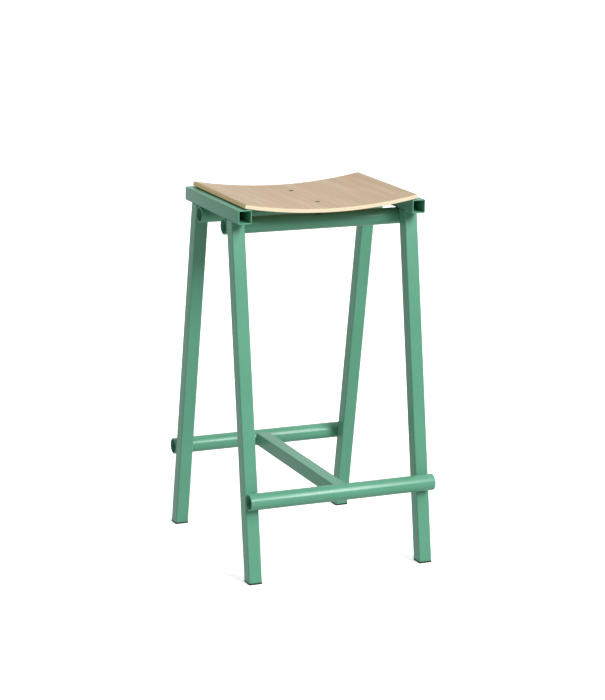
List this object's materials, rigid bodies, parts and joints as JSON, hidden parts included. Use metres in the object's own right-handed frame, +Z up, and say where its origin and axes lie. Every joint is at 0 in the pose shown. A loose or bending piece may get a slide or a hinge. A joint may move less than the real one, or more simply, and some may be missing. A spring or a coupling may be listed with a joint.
{
  "type": "counter stool",
  "caption": "Backless counter-height stool: welded frame of square and round steel tube with splayed legs, foot rails and a stretcher, under a seat of curved plywood.",
  "frame": {"origin": "on the floor, under the middle of the stool", "axes": "+Z up, +X to the sitter's right along the cross tubes, -Y the front"},
  "size_m": [0.3608, 0.41, 0.6705],
  "materials": {
    "green_powder_coat": "satin",
    "black_plastic": "matte",
    "core_plies": "satin",
    "oak_veneer": "satin",
    "black_screw": "satin",
    "zinc_nut": "satin"
  },
  "bodies": {
    "root": {"rail_left": "green_powder_coat", "rail_right": "green_powder_coat", "leg_front_left": "green_powder_coat", "leg_front_right": "green_powder_coat", "leg_rear_left": "green_powder_coat", "leg_rear_right": "green_powder_coat", "seat_tube_front": "green_powder_coat", "seat_tube_rear": "green_powder_coat", "foot_tube_front": "green_powder_coat", "foot_tube_rear": "green_powder_coat", "centre_stretcher": "green_powder_coat", "glide_front_left": "black_plastic", "glide_front_right": "black_plastic", "glide_rear_left": "black_plastic", "glide_rear_right": "black_plastic", "seat_core": "core_plies", "seat_veneer_top": "oak_veneer", "seat_veneer_bottom": "oak_veneer", "seat_spacer_front": "black_plastic", "seat_spacer_rear": "black_plastic", "seat_screw_front": "black_screw", "seat_screw_rear": "black_screw", "rivet_nut_front": "zinc_nut", "rivet_nut_rear": "zinc_nut", "leg_top_welds": "green_powder_coat", "seat_tube_welds": "green_powder_coat", "foot_tube_welds": "green_powder_coat", "stretcher_welds": "green_powder_coat"}
  },
  "joints": []
}
